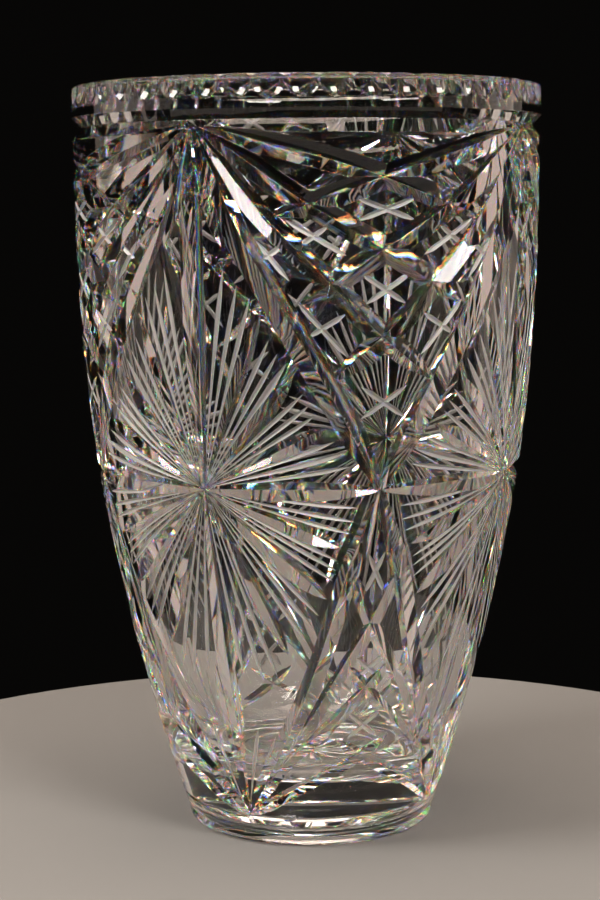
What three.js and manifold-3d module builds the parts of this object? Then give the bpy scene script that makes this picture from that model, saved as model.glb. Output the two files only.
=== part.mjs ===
// Cut crystal vase, one piece of blown and wheel-cut lead glass.
// Millimetres, +Z up. The origin is the centre of the circle the foot stands on.
//
// The vase is a turned blank with a thick base and an open mouth. Two rings are
// turned into the outside (under the rim and above the foot), then the long V
// mitres are cut between the fan centres, leaf-shaped cuts are run round the waist,
// and the outer edge of the rim is dished into scallops that touch each other. The
// cut pattern repeats every quarter turn.
import * as THREE from 'three';
import { mergeVertices } from 'three/addons/utils/BufferGeometryUtils.js';
import Module from 'manifold-3d';

// ---- driving dimensions -------------------------------------------------
const HEIGHT = 254;            // foot to top of rim
const RIM_R = 79.8;            // outer radius of the rim band
const FLOOR_Z = 22;            // inside floor, so the base is 22 thick
const RECESS_R = 30;           // shallow recess in the underside
const RECESS_H = 1.2;
const SEGMENTS = 48;           // facets round the turned blank
const REPEATS = 4;             // the cut pattern repeats every 90 degrees
const SCALLOPS = 48;           // dished scallops round the outer edge of the rim
const SCALLOP_SIDES = 8;       // flats round one dish
const SCALLOP_R = 5.9;         // dish radius at the surface
const SCALLOP_DEPTH = 2.3;     // at its middle
const SCALLOP_Z = 251.9;       // height of its middle
const MITRE_ANGLE = 54;        // half angle of the V wheel, degrees
const PROUD = 1.6;             // how far a cutter stands out of the glass

// Ring grooves: middle height, upper edge, lower edge, depth.
const RIM_RING = { z: 240.2, top: 243.4, low: 236.0, depth: 2.9 };
const FOOT_RING = { z: 4.2, top: 7.8, low: 2.2, depth: 1.2 };

// Outside of the blank before any groove: height, radius.
const OUTER = [
  [0, 41.7], [1.4, 42.8], [2.2, 43.0], [7.8, 44.6], [10.3, 45.4], [32, 52.2], [56, 58.7],
  [80, 64.5], [102, 69.1], [124.8, 73.0], [146, 75.5], [166, 77.4],
  [190, 78.7], [214, 79.4], [236.0, 79.5], [243.4, 79.7], [254, 79.8],
];

// Inside wall: height, radius.
const INNER = [
  [24.5, 33.5], [31, 39.6], [44, 45.8], [76, 54.6], [112, 61.7],
  [152, 67.1], [200, 70.3], [252.2, 71.8],
];

// Long mitres of one quarter, as [turn in degrees, height] points along the
// bottom of the cut. A fan centre of the quarter is at 0 and the next one at 90.
// width is the opening of the V at the surface. A third number is the share of
// that width at the point. Without one the ends have 0.35 and the rest 1. Every
// mitre is also cut mirrored.
const MITRES = [
  { width: 7.6, path: [[0, 239.6], [17, 233.2], [31, 228.2], [45, 222.4], [60, 215.2], [70, 210.8]] },
  { width: 7.4, path: [[0, 239.6], [12, 228.4], [25, 216.2], [43.4, 201.4], [55.2, 191.6], [64, 184.2]] },
  { width: 7.4, path: [[0, 239.6], [8.5, 224.6], [17, 210.6], [30.6, 192.0], [43.6, 174.6], [57, 160.4]] },
  { width: 9.2, path: [[0, 239.6], [10.8, 205.5], [19, 186.2], [27.2, 166.8], [35.6, 147.6], [45, 125.2]] },
  { width: 7.0, path: [[45, 124.6], [40.9, 109.0], [37.2, 96.0], [32.2, 75.6], [24.4, 51.6], [11, 25.6], [0, 10.2]] },
  { width: 5.0, path: [[0, 10.2], [14, 27.0], [27.2, 46.2], [37.6, 65.6], [44.8, 79.4], [49.6, 91.8], [54, 102.6]] },
  { width: 4.6, path: [[0, 10.2], [19, 32.0], [30, 41.6], [44.6, 57.0], [52.6, 67.6]] },
  { width: 4.4, path: [[0, 10.2], [14, 17.4], [27.8, 24.6], [44.4, 33.2], [54, 39.8]] },
  {
    width: 6.8,
    path: [[0, 124.8, 0.1], [6, 124.8, 0.6], [14, 124.8, 0.9], [22.5, 124.8, 1], [31, 124.8, 0.9],
      [39, 124.8, 0.6], [45, 124.8, 0.1]],
  },
];

const RAD = Math.PI / 180;
const wasm = await Module();
wasm.setup();

// ---- helpers ------------------------------------------------------------
function radiusAt(z) {
  for (let i = 1; i < OUTER.length; i++) {
    const [za, ra] = OUTER[i - 1], [zb, rb] = OUTER[i];
    if (z <= zb) return ra + (rb - ra) * Math.max(0, (z - za) / (zb - za));
  }
  return OUTER[OUTER.length - 1][1];
}

function toSolid(geometry) {
  const g = geometry.clone();
  g.deleteAttribute('normal');
  g.deleteAttribute('uv');
  const m = mergeVertices(g, 1e-5);
  const pos = m.attributes.position.array, idx = m.index.array, tri = [];
  let volume = 0;
  for (let i = 0; i < idx.length; i += 3) {
    const [a, b, c] = [idx[i], idx[i + 1], idx[i + 2]];
    if (a === b || b === c || a === c) continue;
    tri.push(a, b, c);
    const A = new THREE.Vector3().fromArray(pos, a * 3);
    const B = new THREE.Vector3().fromArray(pos, b * 3);
    const C = new THREE.Vector3().fromArray(pos, c * 3);
    volume += A.dot(B.cross(C));
  }
  if (volume < 0) for (let i = 0; i < tri.length; i += 3) [tri[i], tri[i + 1]] = [tri[i + 1], tri[i]];
  const mesh = new wasm.Mesh({
    numProp: 3,
    vertProperties: new Float32Array(pos),
    triVerts: new Uint32Array(tri),
  });
  return new wasm.Manifold(mesh);
}

// A point on the blank at a turn and height, pushed out along the wall's normal.
function frameAt(turn, z) {
  const slope = (radiusAt(z + 2) - radiusAt(z - 2)) / 4;
  const a = turn * RAD, r = radiusAt(z);
  const out = new THREE.Vector3(Math.sin(a), -Math.cos(a), 0);
  return {
    p: new THREE.Vector3(r * out.x, r * out.y, z),
    n: new THREE.Vector3(out.x, out.y, -slope).normalize(),
  };
}

// A V mitre: a wedge swept along a path on the blank, shallower at its ends.
function mitre(path, width, turn0, mirror) {
  const pts = path.map(([t, z]) => {
    const turn = turn0 + (mirror ? 90 - t : t);
    return frameAt(turn, z);
  });
  const pos = [], idx = [];
  const last = pts.length - 1;
  pts.forEach(({ p, n }, i) => {
    const a = pts[Math.max(0, i - 1)].p, b = pts[Math.min(last, i + 1)].p;
    const t = b.clone().sub(a).normalize();
    const side = t.clone().cross(n).normalize();
    const share = path[i][2] ?? (i === 0 || i === last ? 0.35 : 1);
    const half = (width / 2) * share;
    const depth = half / Math.tan(MITRE_ANGLE * RAD);
    const top = half * (1 + PROUD / depth);
    const apex = p.clone().addScaledVector(n, -depth);
    const up = p.clone().addScaledVector(n, PROUD);
    for (const v of [apex, up.clone().addScaledVector(side, top), up.clone().addScaledVector(side, -top)]) {
      pos.push(v.x, v.y, v.z);
    }
    if (i < last) {
      const s = i * 3;
      for (const [u, v] of [[0, 1], [1, 2], [2, 0]]) {
        idx.push(s + u, s + v, s + 3 + v, s + u, s + 3 + v, s + 3 + u);
      }
    }
  });
  idx.push(0, 2, 1, last * 3, last * 3 + 1, last * 3 + 2);
  const g = new THREE.BufferGeometry();
  g.setAttribute('position', new THREE.Float32BufferAttribute(pos, 3));
  g.setIndex(idx);
  return toSolid(g);
}

// ---- turned blank -------------------------------------------------------
const profile = [new THREE.Vector2(0, RECESS_H), new THREE.Vector2(RECESS_R - 1.2, RECESS_H),
  new THREE.Vector2(RECESS_R, 0)];
const rings = [FOOT_RING, RIM_RING];
for (const [z, r] of OUTER.slice(0, -1)) {
  profile.push(new THREE.Vector2(r, z));
  const ring = rings.find((g) => Math.abs(g.low - z) < 0.01);
  if (ring) profile.push(new THREE.Vector2(radiusAt(ring.z) - ring.depth, ring.z));
}
profile.push(new THREE.Vector2(RIM_R, HEIGHT - 2.2), new THREE.Vector2(RIM_R - 0.9, HEIGHT - 0.6),
  new THREE.Vector2(RIM_R - 2.4, HEIGHT), new THREE.Vector2(73.4, HEIGHT), new THREE.Vector2(72.2, HEIGHT - 0.6));
for (const [z, r] of [...INNER].reverse()) profile.push(new THREE.Vector2(r, z));
profile.push(new THREE.Vector2(24, FLOOR_Z), new THREE.Vector2(0, FLOOR_Z));

const blank = new THREE.LatheGeometry(profile, SEGMENTS);
blank.rotateX(Math.PI / 2);
let body = toSolid(blank);

// ---- long mitres --------------------------------------------------------
for (let q = 0; q < REPEATS; q++) {
  for (const { path, width } of MITRES) {
    body = body.subtract(mitre(path, width, q * 90, false));
    body = body.subtract(mitre(path, width, q * 90, true));
  }
}

// ---- rim scallops -------------------------------------------------------
for (let i = 0; i < SCALLOPS; i++) {
  const flare = (SCALLOP_DEPTH + PROUD) / SCALLOP_DEPTH;
  const dish = new THREE.ConeGeometry(SCALLOP_R * flare, SCALLOP_DEPTH + PROUD, SCALLOP_SIDES, 1);
  dish.rotateY(Math.PI / SCALLOP_SIDES);
  dish.rotateZ(Math.PI / 2);                        // points in at the axis
  dish.translate(RIM_R + (PROUD - SCALLOP_DEPTH) / 2, 0, SCALLOP_Z);
  dish.rotateZ(((i + 0.5) * 360 / SCALLOPS) * RAD);
  body = body.subtract(toSolid(dish));
}

// ---- result -------------------------------------------------------------
const out = body.getMesh();
const geometry = new THREE.BufferGeometry();
geometry.setAttribute('position', new THREE.Float32BufferAttribute(Float32Array.from(out.vertProperties), 3));
geometry.setIndex(Array.from(out.triVerts));
geometry.computeVertexNormals();

const crystal = new THREE.MeshStandardMaterial({ color: 0xdfe3e4, roughness: 0.03, metalness: 0 });
crystal.name = 'lead_crystal';

const vase = new THREE.Mesh(geometry, crystal);
vase.name = 'vase_body';

const object = new THREE.Group();
object.name = 'cut_crystal_vase';
object.add(vase);

export default object;
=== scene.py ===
import math
import bmesh
import bpy
import numpy as np
from mathutils import Matrix, Vector


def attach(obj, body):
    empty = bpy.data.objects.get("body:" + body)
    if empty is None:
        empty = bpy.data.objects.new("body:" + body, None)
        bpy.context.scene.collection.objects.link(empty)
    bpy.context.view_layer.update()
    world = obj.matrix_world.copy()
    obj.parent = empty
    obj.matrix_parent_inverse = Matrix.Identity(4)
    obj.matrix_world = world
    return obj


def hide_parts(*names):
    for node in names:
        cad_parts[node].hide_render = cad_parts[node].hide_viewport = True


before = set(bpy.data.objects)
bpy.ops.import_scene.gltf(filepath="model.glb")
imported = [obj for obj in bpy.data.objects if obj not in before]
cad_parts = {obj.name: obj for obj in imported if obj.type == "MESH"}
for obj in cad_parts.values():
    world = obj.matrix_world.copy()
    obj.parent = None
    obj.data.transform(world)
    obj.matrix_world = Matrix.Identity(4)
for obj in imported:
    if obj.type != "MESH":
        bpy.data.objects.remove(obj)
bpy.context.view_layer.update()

scene = bpy.context.scene
MM = 0.001

# ---------------------------------------------------------------------------
# Camera
# ---------------------------------------------------------------------------
TURN = math.radians(27.2)          # the star nearest the camera sits this far to its left
TILT = 0.1243                      # downwards
ROLL = 0.0075


def turned(v, a=TURN):
    return Vector((v[0] * math.cos(a) - v[1] * math.sin(a),
                   v[0] * math.sin(a) + v[1] * math.cos(a), v[2]))


cam = bpy.data.cameras.new("camera")
cam.sensor_fit = "AUTO"
cam.sensor_width = 36.0
cam.lens = 78.854
cam.clip_start, cam.clip_end = 0.01, 20.0
cam_ob = bpy.data.objects.new("camera", cam)
bpy.context.scene.collection.objects.link(cam_ob)
right = turned((1, 0, 0))
up = turned((0, math.sin(TILT), math.cos(TILT)))
ahead = turned((0, math.cos(TILT), -math.sin(TILT)))
x_axis = right * math.cos(ROLL) - up * math.sin(ROLL)
y_axis = right * math.sin(ROLL) + up * math.cos(ROLL)
basis = Matrix((x_axis, y_axis, -ahead)).transposed().to_4x4()
basis.translation = turned((-0.002935, -0.68275, 0.21432))
cam_ob.matrix_world = basis
bpy.context.scene.camera = cam_ob

# ---------------------------------------------------------------------------
# Shape of the blank, in millimetres: height and radius
# ---------------------------------------------------------------------------
OUTER = [
    (0, 41.7), (1.4, 42.8), (2.2, 43.0), (10.3, 45.4), (20, 48.5), (32, 52.2), (44, 55.5),
    (56, 58.7), (68, 61.9), (80, 64.5), (92, 67.0), (104, 69.4), (116, 71.5), (128.9, 73.5),
    (140, 74.8), (152, 76.1), (164, 77.1), (176, 77.95), (188, 78.55), (200, 79.0),
    (212, 79.3), (224, 79.4), (236, 79.45), (244.6, 79.62), (254, 79.74),
]
INNER = [
    (22.0, 0.0), (22.0, 14.0), (22.3, 22.0), (23.2, 28.6), (24.9, 33.2), (27.6, 36.8), (31, 39.7), (37, 42.9),
    (44, 45.8), (54, 49.0), (65, 52.0), (76, 54.7), (88, 57.2), (100, 59.6), (112, 61.8),
    (126, 63.9), (140, 65.8), (152, 67.1), (168, 68.4), (184, 69.5), (200, 70.3), (218, 70.9),
    (236, 71.4), (248, 71.7), (252.6, 71.8),
]
SEG = 128
PROUD = 1.5

_z = np.arange(-10, 265, 0.5)
_r = np.interp(_z, [p[0] for p in OUTER], [p[1] for p in OUTER])
_r[_z < 0] = 41.7
_k = np.exp(-0.5 * (np.arange(-12, 13) / 5.0) ** 2)
_k /= _k.sum()
_s = np.convolve(_r, _k, mode="same")
_keep = np.clip((_z - 12.0) / 10.0, 0, 1) * np.clip((250.0 - _z) / 6.0, 0, 1)
_r = _r * (1 - _keep) + _s * _keep


def radius(z):
    return np.interp(z, _z, _r)


def slope(z):
    return (radius(z + 1.0) - radius(z - 1.0)) / 2.0


RIM_RING = (240.2, 243.4, 236.0, 2.9)     # middle, upper edge, lower edge, depth


def lathe_profile():
    """Closed profile from the underside, up the outside and down the inside."""
    pts = [(0.0, 1.2), (9.0, 1.2), (20.0, 1.2), (28.6, 1.2), (30.0, 0.0), (41.2, 0.0)]
    zs = list(np.arange(14.0, 234, 3.1))
    outside = [(41.7, 0.3), (42.3, 0.7), (42.75, 1.4), (42.85, 2.2), (42.2, 3.4),
               (43.3, 4.8), (44.1, 6.3), (44.6, 7.8), (44.85, 9.3), (44.4, 10.1), (radius(11.0), 11.0)]
    outside += [(radius(z), z) for z in zs]
    mid, high, low, depth = RIM_RING
    outside += [(radius(low), low), (radius(mid) - depth, mid), (radius(high), high)]
    outside.append((radius(247.0), 247.0))
    outside.append((radius(250.0), 250.0))
    outside.sort(key=lambda p: p[1])
    pts += outside
    pts += [(79.74, 252.0), (79.4, 252.9), (78.6, 253.6), (77.2, 253.95), (75.6, 253.98),
            (74.2, 253.7), (73.1, 253.1), (72.3, 252.2), (71.95, 251.0)]
    pts += [(r, z) for z, r in reversed(INNER)][1:]
    return pts


def lathe(name, pts, seg, cid):
    bm = bmesh.new()
    rings = []
    for r, z in pts:
        if r < 1e-6:
            rings.append([bm.verts.new((0, 0, z))])
        else:
            rings.append([bm.verts.new((r * math.sin(2 * math.pi * i / seg),
                                        -r * math.cos(2 * math.pi * i / seg), z)) for i in range(seg)])
    for a, b in zip(rings, rings[1:]):
        for i in range(seg):
            j = (i + 1) % seg
            if len(a) == 1 and len(b) == 1:
                continue
            if len(a) == 1:
                bm.faces.new((a[0], b[j], b[i]))
            elif len(b) == 1:
                bm.faces.new((a[i], a[j], b[0]))
            else:
                bm.faces.new((a[i], a[j], b[j], b[i]))
    bmesh.ops.recalc_face_normals(bm, faces=bm.faces)
    me = bpy.data.meshes.new(name)
    bm.to_mesh(me)
    bm.free()
    at = me.attributes.new("cid", "INT", "FACE")
    at.data.foreach_set("value", np.full(len(me.polygons), cid, dtype=np.int32))
    return me


# ---------------------------------------------------------------------------
# Cutters. Every cut is a V wheel run along a line on the blank.
# ---------------------------------------------------------------------------
def catmull(pts, n):
    """Smooth curve through points, n samples."""
    p = np.array(pts, float)
    d = np.concatenate([[0], np.cumsum(np.linalg.norm((p[1:] - p[:-1]) * (1.25, 1.0), axis=1))])
    t = np.linspace(0, d[-1], n)
    if len(p) == 2:
        return np.stack([np.interp(t, d, p[:, k]) for k in range(2)], 1)
    m = np.zeros_like(p)
    for k in range(2):
        s = np.diff(p[:, k]) / np.diff(d)
        m[1:-1, k] = (s[1:] + s[:-1]) / 2
        m[0, k], m[-1, k] = s[0], s[-1]
    i = np.clip(np.searchsorted(d, t, side="right") - 1, 0, len(p) - 2)
    h = (d[i + 1] - d[i])
    u = (t - d[i]) / h
    h00, h10, h01, h11 = 2 * u**3 - 3 * u**2 + 1, u**3 - 2 * u**2 + u, -2 * u**3 + 3 * u**2, u**3 - u**2
    return (h00[:, None] * p[i] + h10[:, None] * m[i] * h[:, None] + h01[:, None] * p[i + 1]
            + h11[:, None] * m[i + 1] * h[:, None])


def across(a, b, n):
    """The line a wheel takes between two points on the blank: (turn, height) samples along the chord."""
    def place(q):
        r = radius(q[1])
        t = math.radians(q[0])
        return np.array((r * math.sin(t), -r * math.cos(t), q[1]))
    pa, pb = place(a), place(b)
    s = np.linspace(0, 1, n)[:, None]
    c = pa * (1 - s) + pb * s
    th = np.degrees(np.unwrap(np.arctan2(c[:, 0], -c[:, 1])))
    return np.stack([th + 360 * round((a[0] - th[0]) / 360), c[:, 2]], 1)


class Cut:
    """One pass of the wheel: a path of (turn, height) samples, a depth at each, and the wheel's half angle."""

    def __init__(self, path, width, half_angle, profile, kind):
        self.path, self.kind = np.asarray(path, float), kind
        self.tan = math.tan(math.radians(half_angle))
        u = np.linspace(0, 1, len(self.path))
        self.depth = (width / 2) / self.tan * profile(u)

    def mesh(self, turn, mirror):
        th = np.radians((90 - self.path[:, 0] if mirror else self.path[:, 0]) + turn)
        z = self.path[:, 1]
        r = radius(z)
        p = np.stack([r * np.sin(th), -r * np.cos(th), z], 1)
        n = np.stack([np.sin(th), -np.cos(th), -slope(z)], 1)
        n /= np.linalg.norm(n, axis=1)[:, None]
        t = np.gradient(p, axis=0)
        t /= np.linalg.norm(t, axis=1)[:, None]
        side = np.cross(t, n)
        side /= np.linalg.norm(side, axis=1)[:, None]
        half = (self.depth + PROUD) * self.tan
        apex = p - n * self.depth[:, None]
        top = p + n * PROUD
        v = np.stack([apex, top + side * half[:, None], top - side * half[:, None]], 1).reshape(-1, 3)
        f = []
        m = len(p)
        for i in range(m - 1):
            s = 3 * i
            for a, b in ((0, 1), (1, 2), (2, 0)):
                f.append((s + a, s + b, s + 3 + b, s + 3 + a))
        f.append((2, 1, 0))
        f.append((3 * m - 3, 3 * m - 2, 3 * m - 1))
        return v, f


def cutter_mesh(name, parts, cid):
    verts, faces, at = [], [], 0
    for v, f in parts:
        verts.append(v)
        faces += [tuple(i + at for i in face) for face in f]
        at += len(v)
    me = bpy.data.meshes.new(name)
    me.from_pydata(np.concatenate(verts).tolist(), [], faces)
    bm = bmesh.new()
    bm.from_mesh(me)
    bmesh.ops.recalc_face_normals(bm, faces=bm.faces)
    bmesh.ops.triangulate(bm, faces=bm.faces)
    bm.to_mesh(me)
    bm.free()
    a = me.attributes.new("cid", "INT", "FACE")
    a.data.foreach_set("value", np.full(len(me.polygons), cid, dtype=np.int32))
    return me


# Depth profiles along a cut, 0 to 1 from its start to its tip.
def long_mitre(u):
    return np.minimum(np.clip(0.30 + u / 0.16 * 0.7, 0, 1), np.clip((1 - u) / 0.10, -0.05, 1) * 0.9 + 0.1)


def through(u):
    return np.clip(0.30 + np.minimum(u, 1 - u) / 0.16 * 0.7, 0, 1)


def leaf(u):
    rise = np.clip(u / 0.66, 0, 1)
    fall = np.clip((1 - u) / 0.34, 0, 1)
    return np.where(u < 0.66, rise**0.95, 1 - (1 - fall) ** 2.2) - 0.02 * (u < 0.005) - 0.06 * (u > 0.995)


def thin(u):
    return np.minimum(np.clip(u / 0.74, 0, 1) ** 1.1, np.clip((1 - u) / 0.16, 0, 1) ** 0.8) - 0.08 * (u > 0.995)


def strip(u):
    return np.clip(np.minimum(u, 1 - u) / 0.10, 0, 1) ** 0.7 - 0.1 * (np.minimum(u, 1 - u) < 0.005)


MITRE, FINE = 54, 52
THIN = 0.78     # the fine cuts are run shallow
CUTS = []     # (Cut, also mirrored)


def sweep(points, width, profile=long_mitre, angle=MITRE, kind=2, both=True, step=4.0):
    length = sum(math.hypot((b[0] - a[0]) * 1.25, b[1] - a[1]) for a, b in zip(points, points[1:]))
    CUTS.append((Cut(catmull(points, max(8, int(length / step))), width, angle, profile, kind), both))


def ray(centre, tip, width, profile=thin, angle=FINE, kind=3, start=1.2, both=True, step=4.0):
    a, b = np.array(centre, float), np.array(tip, float)
    length = math.hypot((b[0] - a[0]) * 1.25, b[1] - a[1])
    a = a + (b - a) * (start / length)
    if kind == 3:
        width *= THIN
    CUTS.append((Cut(across(a, b, max(8, int(length / step))), width, angle, profile, kind), both))


TOP, STAR, LOW, MEET = (0, 239.6), (0, 125.0), (0, 10.2), (45, 125.0)

# the long mitres
sweep([(0, 239.6), (17, 233.2), (31, 228.2), (45, 222.4), (60, 215.2), (70.5, 210.6)], 7.6)
sweep([(0, 239.6), (12, 228.4), (25, 216.2), (43.4, 201.4), (55.2, 191.6), (64.5, 183.8)], 7.4)
sweep([(0, 239.6), (8.5, 224.6), (17, 210.6), (30.6, 192.0), (43.6, 174.6), (58, 159.4)], 7.4)
sweep([(0, 239.6), (10.8, 205.5), (19, 186.2), (27.2, 166.8), (35.6, 147.6), (45, 125.2)], 9.2, through)
sweep([(45, 124.6), (40.9, 109.0), (37.2, 96.0), (32.2, 75.6), (24.4, 51.6), (11, 25.6), (0, 10.2)], 7.0, through)
sweep([(0, 10.2), (14, 27.0), (27.2, 46.2), (37.6, 65.6), (44.8, 79.4), (49.6, 91.8), (54, 102.6)], 5.0)
sweep([(0, 10.2), (19, 32.0), (30, 41.6), (44.6, 57.0), (53, 68.0)], 4.6)
sweep([(0, 10.2), (14, 17.4), (27.8, 24.6), (44.4, 33.2), (54.5, 40.2)], 4.4)
# the waist: a leaf-shaped cut from each star to each crossing
sweep([(0, 124.8), (11, 124.8), (22.5, 124.8), (34, 124.8), (45, 124.8)], 6.8,
      lambda u: 0.10 + 0.90 * np.sin(np.pi * u) ** 0.75, step=3.0)
# upright mitres on the star's own line
sweep([(0, 239.4), (0, 200), (0, 160), (0, 125.6)], 8.4, lambda u: np.clip(0.25 + np.minimum(u / 0.22, (1 - u) / 0.42) * 0.75, 0, 1), both=False)
sweep([(0, 124.4), (0, 90), (0, 50), (0, 10.4)], 5.8, lambda u: np.clip(0.2 + np.minimum(u / 0.4, (1 - u) / 0.25) * 0.8, 0, 1), both=False)

# star, upper right: leaves
for tip, w in (((31.6, 145.4), 6.2), ((23.4, 160.2), 5.6), ((16.5, 181.5), 4.4)):
    ray(STAR, tip, w, leaf, MITRE, 2)
# star, upper right: thin cuts
for tip, w in (((37.6, 132.8), 2.0), ((36.4, 137.4), 2.8), ((33.6, 141.0), 2.0),
               ((28.8, 149.3), 1.9), ((27.6, 152.8), 1.9), ((26.0, 156.2), 1.9),
               ((22.3, 166.0), 2.6), ((20.2, 169.0), 1.9), ((18.3, 173.4), 1.9),
               ((14.0, 186.2), 2.0), ((11.0, 190.4), 2.0), ((7.8, 195.6), 2.0)):
    ray(STAR, tip, w)
# star, lower right: leaves
for tip, w in (((35.6, 106.2), 6.6), ((32.1, 88.8), 7.0), ((20.8, 69.8), 6.2)):
    ray(STAR, tip, w, leaf, MITRE, 2)
# star, lower right: thin cuts
for tip, w in (((39.6, 119.2), 1.9), ((39.0, 114.6), 1.9), ((37.8, 110.8), 1.9),
               ((34.7, 101.8), 1.9), ((34.4, 98.6), 1.9), ((33.7, 95.0), 1.9),
               ((29.9, 83.2), 2.0), ((28.6, 78.4), 2.0), ((26.7, 73.6), 2.0),
               ((17.2, 62.0), 2.0), ((12.8, 60.0), 2.0), ((6.4, 62.0), 2.0)):
    ray(STAR, tip, w)
# under the rim: short leaf and thin cuts between the steep mitre and the upright one
ray(TOP, (7.6, 200.5), 5.6, leaf, MITRE, 2)
ray(TOP, (4.6, 207.0), 1.9)
ray(TOP, (9.6, 211.0), 1.9)
# above the foot
ray(LOW, (3.4, 66.0), 3.2, leaf, MITRE, 2)
ray(LOW, (9.0, 44.0), 1.9)
ray(LOW, (15.0, 41.0), 1.9)

# cross-hatching inside the lozenges
def hatch(a, b, w=1.7, both=True):
    n = max(5, int(math.hypot((b[0] - a[0]) * 1.3, b[1] - a[1]) / 3.0))
    CUTS.append((Cut(across(a, b, n), w, 56, strip, 3), both))


for a, b in (((37.4, 216.2), (52.4, 208.8)),
             ((38.2, 193.8), (50.4, 183.0)),
             ((39.0, 147.4), (51.0, 158.2)),
             ((22.0, 209.6), (36.0, 198.2)), ((22.6, 199.0), (32.4, 208.2)),
             ((24.4, 184.8), (36.2, 167.0)), ((26.4, 173.0), (36.2, 181.0)),
             ((15.4, 203.5), (23.2, 190.4)), ((13.0, 194.0), (22.6, 202.6)),
             ((42.4, 105.0), (48.4, 89.5)),
             ((38.0, 71.5), (50.0, 60.5)),
             ((33.0, 60.0), (40.0, 71.0)), ((31.0, 66.5), (40.6, 56.0)),
             ((39.0, 50.0), (50.6, 40.0))):
    hatch(a, b)


def scallop_parts():
    """Round dishes along the outer edge of the rim, each touching the next."""
    rad, depth, height = 9.2, 1.96, 251.9
    around, down, parts = 48, 32, []
    for i in range(48):
        a = math.radians((i + 0.5) * 7.5)
        ball = []
        for k in range(1, down):
            p = math.pi * k / down
            for j in range(around):
                t = 2 * math.pi * j / around
                ball.append((rad * math.sin(p) * math.cos(t), rad * math.sin(p) * math.sin(t), rad * math.cos(p)))
        ball += [(0, 0, rad), (0, 0, -rad)]
        v = np.array(ball) + (79.72 - depth + rad, 0, height)
        v = np.stack([v[:, 0] * math.cos(a) - v[:, 1] * math.sin(a),
                      v[:, 0] * math.sin(a) + v[:, 1] * math.cos(a), v[:, 2]], 1)
        f = []
        for j in range(around):
            n = (j + 1) % around
            for k in range(down - 2):
                f.append((k * around + j, (k + 1) * around + j, (k + 1) * around + n, k * around + n))
            f.append((len(v) - 2, j, n))
            f.append((len(v) - 1, (down - 2) * around + n, (down - 2) * around + j))
        parts.append((v, f))
    return parts


def base_star_parts():
    """Sixteen-ray star cut into the recess of the underside."""
    parts = []
    for i in range(16):
        a = 2 * math.pi * (i + 0.5) / 16
        d, n = np.array((math.sin(a), -math.cos(a), 0.0)), np.array((0, 0, -1.0))
        s = np.linspace(1.0, 27.0 if i % 2 == 0 else 22.0, 9)
        u = np.linspace(0, 1, 9)
        depth = 1.5 * leaf(u)
        tan = math.tan(math.radians(56))
        side = np.cross(d, n)
        p = d[None] * s[:, None] + np.array((0, 0, 1.2))
        half = (depth + 0.8) * tan
        apex = p - n * depth[:, None]
        top = p + n * 0.8
        v = np.stack([apex, top + side * half[:, None], top - side * half[:, None]], 1).reshape(-1, 3)
        f = []
        for k in range(8):
            for a1, b1 in ((0, 1), (1, 2), (2, 0)):
                f.append((3 * k + a1, 3 * k + b1, 3 * k + 3 + b1, 3 * k + 3 + a1))
        f += [(2, 1, 0), (24, 25, 26)]
        parts.append((v, f))
    return parts


def carve():
    """The blank with every cut taken out of it, as one closed mesh. cid says what made each face."""
    blank = lathe("blank", lathe_profile(), SEG, 1)
    ob = bpy.data.objects.new("blank", blank)
    scene.collection.objects.link(ob)
    col = bpy.data.collections.new("wheels")
    scene.collection.children.link(col)
    made = []

    def add(parts, cid):
        me = cutter_mesh("wheel%03d" % len(made), parts, cid)
        o = bpy.data.objects.new(me.name, me)
        col.objects.link(o)
        made.append(o)

    for cut, both in CUTS:
        add([cut.mesh(q * 90, False) for q in range(4)], cut.kind)
        if both:
            add([cut.mesh(q * 90, True) for q in range(4)], cut.kind)
    sc = scallop_parts()
    add(sc[0::2], 4)
    add(sc[1::2], 4)
    for part in base_star_parts():
        add([part], 5)
    m = ob.modifiers.new("cuts", "BOOLEAN")
    m.operand_type = "COLLECTION"
    m.collection, m.operation, m.solver = col, "DIFFERENCE", "MANIFOLD"
    dg = bpy.context.evaluated_depsgraph_get()
    me = bpy.data.meshes.new_from_object(ob.evaluated_get(dg), preserve_all_data_layers=True, depsgraph=dg)
    bpy.data.objects.remove(ob)
    bpy.data.meshes.remove(blank)
    for o in made:
        m = o.data
        bpy.data.objects.remove(o)
        bpy.data.meshes.remove(m)
    bpy.data.collections.remove(col)
    return me


def inner_radius(z):
    return np.interp(z, _iz, _ir)


_iz = np.arange(20, 260, 0.5)
_ir = np.interp(_iz, [p[0] for p in INNER][1:], [p[1] for p in INNER][1:])


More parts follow.
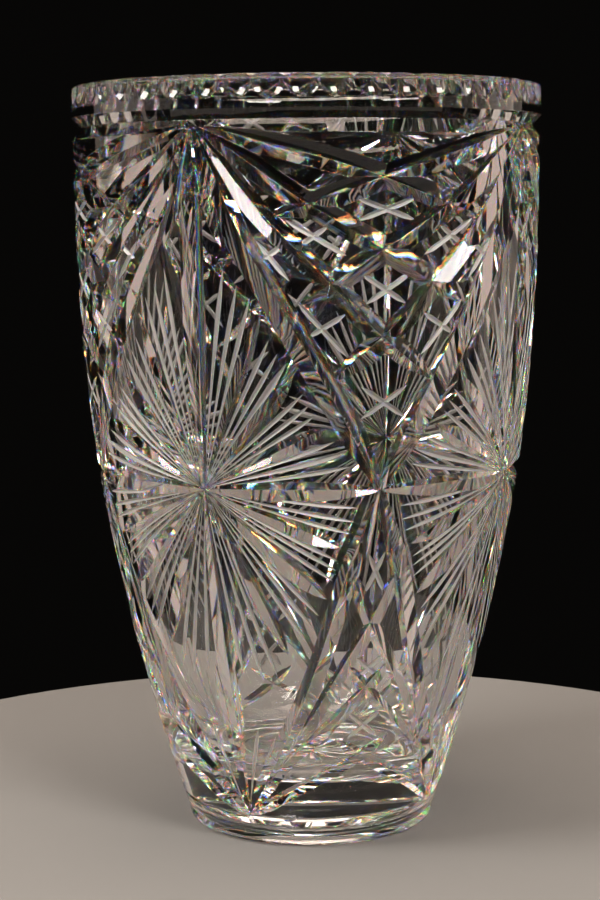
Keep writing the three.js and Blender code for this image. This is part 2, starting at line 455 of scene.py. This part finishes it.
def finish_glass(me):
    """Materials by what cut each face, and true normals of the turned surfaces."""
    n = len(me.polygons)
    cid = np.zeros(n, dtype=np.int32)
    me.attributes["cid"].data.foreach_get("value", cid)
    me.materials.clear()
    me.materials.append(CLEAR)
    me.materials.append(SATIN)
    me.materials.append(PRISM)
    me.polygons.foreach_set("material_index", np.select([cid == 3, cid == 2], [1, 2], 0).astype(np.int32))
    me.polygons.foreach_set("use_smooth", np.ones(n, dtype=bool))
    me.set_sharp_from_angle(angle=math.radians(20))
    co = np.zeros(len(me.vertices) * 3)
    me.vertices.foreach_get("co", co)
    co = co.reshape(-1, 3)
    loops = np.zeros(len(me.loops), dtype=np.int32)
    me.loops.foreach_get("vertex_index", loops)
    normals = np.zeros(len(me.loops) * 3, dtype=np.float32)
    me.corner_normals.foreach_get("vector", normals)
    normals = normals.reshape(-1, 3)
    start = np.zeros(n, dtype=np.int32)
    total = np.zeros(n, dtype=np.int32)
    me.polygons.foreach_get("loop_start", start)
    me.polygons.foreach_get("loop_total", total)
    face = np.repeat(np.arange(n), total)
    order = np.concatenate([np.arange(a, a + b) for a, b in zip(start, total)])
    face_of = np.zeros(len(me.loops), dtype=np.int32)
    face_of[order] = face
    fn = np.zeros(n * 3, dtype=np.float32)
    me.polygons.foreach_get("normal", fn)
    fn = fn.reshape(-1, 3)
    p = co[loops]
    rad = np.hypot(p[:, 0], p[:, 1]) + 1e-9
    unit = p[:, :2] / rad[:, None]
    out_n = np.stack([unit[:, 0], unit[:, 1], -slope(p[:, 2])], 1)
    out_n /= np.linalg.norm(out_n, axis=1)[:, None] + 1e-9
    tilt = (inner_radius(p[:, 2] + 1) - inner_radius(p[:, 2] - 1)) / 2
    in_n = np.stack([-unit[:, 0], -unit[:, 1], tilt], 1)
    in_n /= np.linalg.norm(in_n, axis=1)[:, None] + 1e-9
    mine = cid[face_of] == 1
    on_out = mine & ((fn[face_of] * out_n).sum(1) > 0.995) & (p[:, 2] > 12) & (p[:, 2] < 251)
    on_in = mine & ((fn[face_of] * in_n).sum(1) > 0.98) & (p[:, 2] > 40) & (p[:, 2] < 250)
    normals[on_out] = out_n[on_out]
    normals[on_in] = in_n[on_in]
    me.normals_split_custom_set(normals.tolist())
    me.attributes.remove(me.attributes["cid"])


# ---------------------------------------------------------------------------
# Glass
# ---------------------------------------------------------------------------
def principled_glass(name, rough, wave, through=1.0, colour=(1.0, 0.998, 0.992)):
    m = bpy.data.materials.new(name)
    m.use_nodes = True
    nt = m.node_tree
    p = nt.nodes["Principled BSDF"]
    p.inputs["Base Color"].default_value = (*colour, 1)
    p.inputs["Transmission Weight"].default_value = through
    p.inputs["IOR"].default_value = 1.55
    p.inputs["Roughness"].default_value = rough
    ripple(nt, p, wave)
    return m


def ripple(nt, shader, wave, scale=90.0):
    """The faint unevenness that hand polishing leaves, and the edges that it softens."""
    tc = nt.nodes.new("ShaderNodeTexCoord")
    no = nt.nodes.new("ShaderNodeTexNoise")
    no.inputs["Scale"].default_value = scale
    no.inputs["Detail"].default_value = 1.0
    bu = nt.nodes.new("ShaderNodeBump")
    bu.inputs["Strength"].default_value = wave
    bu.inputs["Distance"].default_value = 0.0004
    nt.links.new(tc.outputs["Object"], no.inputs["Vector"])
    nt.links.new(no.outputs["Fac"], bu.inputs["Height"])
    if shader.inputs["Roughness"].default_value < 0.1:
        edge = nt.nodes.new("ShaderNodeBevel")
        edge.samples = 4
        edge.inputs["Radius"].default_value = 0.0003
        nt.links.new(edge.outputs[0], bu.inputs["Normal"])
    nt.links.new(bu.outputs[0], shader.inputs["Normal"])


def prism_glass(name, spread, tints):
    """The wide mitres split light: the index rises from red to blue, an equal share of glass for each.
    The tints of the three shares add up to white."""
    m = bpy.data.materials.new(name)
    m.use_nodes = True
    nt = m.node_tree
    nt.nodes.clear()
    out = nt.nodes.new("ShaderNodeOutputMaterial")
    last = None
    for k, (colour, shift) in enumerate(zip(tints, (-0.45, 0.0, 0.55))):
        g = nt.nodes.new("ShaderNodeBsdfGlass")
        g.inputs["Color"].default_value = (*[3 * c for c in colour], 1)
        g.inputs["IOR"].default_value = 1.550 + shift * spread
        g.inputs["Roughness"].default_value = 0.0
        ripple(nt, g, 0.05)
        if last is None:
            last = g.outputs[0]
        else:
            mix = nt.nodes.new("ShaderNodeMixShader")
            mix.inputs[0].default_value = 1 / (k + 1)
            nt.links.new(last, mix.inputs[1])
            nt.links.new(g.outputs[0], mix.inputs[2])
            last = mix.outputs[0]
    nt.links.new(last, out.inputs[0])
    return m


CLEAR = principled_glass("lead_crystal_polished", 0.0, 0.05)
SATIN = principled_glass("lead_crystal_fine_cut", 0.35, 0.3, 0.52, (0.98, 0.965, 0.94))
PRISM = prism_glass("lead_crystal_mitre", 0.030, ((0.69, 0.17, 0.04), (0.24, 0.62, 0.22), (0.07, 0.17, 0.71)))

mesh = carve()
finish_glass(mesh)
mesh.name = "cut_vase"
mesh.transform(Matrix.Scale(MM, 4))
vase = bpy.data.objects.new("cut_vase", mesh)
scene.collection.objects.link(vase)
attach(vase, "root")
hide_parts("vase_body")

# ---------------------------------------------------------------------------
# Floor, light and background
# ---------------------------------------------------------------------------
FLOOR_R = 0.21
floor_me = bpy.data.meshes.new("floor")
bm = bmesh.new()
ring = [bm.verts.new((FLOOR_R * math.sin(2 * math.pi * i / 96), -FLOOR_R * math.cos(2 * math.pi * i / 96), -0.0002)) for i in range(96)]
bm.faces.new(ring)
bmesh.ops.recalc_face_normals(bm, faces=bm.faces)
bm.to_mesh(floor_me)
bm.free()
floor = bpy.data.objects.new("floor", floor_me)
scene.collection.objects.link(floor)
fm = bpy.data.materials.new("pale_floor")
fm.use_nodes = True
fb = fm.node_tree.nodes["Principled BSDF"]
fb.inputs["Base Color"].default_value = (0.32, 0.31, 0.295, 1)
fb.inputs["Roughness"].default_value = 0.7
floor_me.materials.append(fm)

world = bpy.data.worlds.new("studio")
scene.world = world
world.use_nodes = True
bg = world.node_tree.nodes["Background"]
bg.inputs[0].default_value = (0.0022, 0.002, 0.0018, 1)
bg.inputs[1].default_value = 1.0


def softbox(name, place, size, power, colour=(1, 0.83, 0.71), aim=(0, 0, 0.13)):
    l = bpy.data.lights.new(name, "AREA")
    l.shape = "RECTANGLE"
    l.size, l.size_y = size
    l.energy = power
    l.color = colour
    o = bpy.data.objects.new(name, l)
    scene.collection.objects.link(o)
    p = turned(place)
    o.location = p
    o.rotation_euler = (Vector(aim) - p).to_track_quat("-Z", "Y").to_euler()
    o.visible_camera = False
    return o


KEY = (1, 0.94, 0.88)
softbox("left_box", (-0.75, 0.16, 0.20), (0.45, 0.9), 0.62)
softbox("right_box", (0.75, 0.22, 0.20), (0.45, 0.9), 0.68)
softbox("top_box", (0.0, 0.0, 0.95), (0.6, 0.5), 5.4)
softbox("front_right_box", (0.30, -0.57, 0.77), (0.27, 0.27), 4.3, KEY)
softbox("front_left_box", (-0.58, -0.28, 0.78), (0.32, 0.32), 5.2, KEY)

scene.cycles.sample_clamp_indirect = 40.0
scene.cycles.max_bounces = 32
scene.cycles.transmission_bounces = 32
scene.cycles.glossy_bounces = 12
scene.cycles.diffuse_bounces = 3
scene.view_settings.view_transform = "Standard"
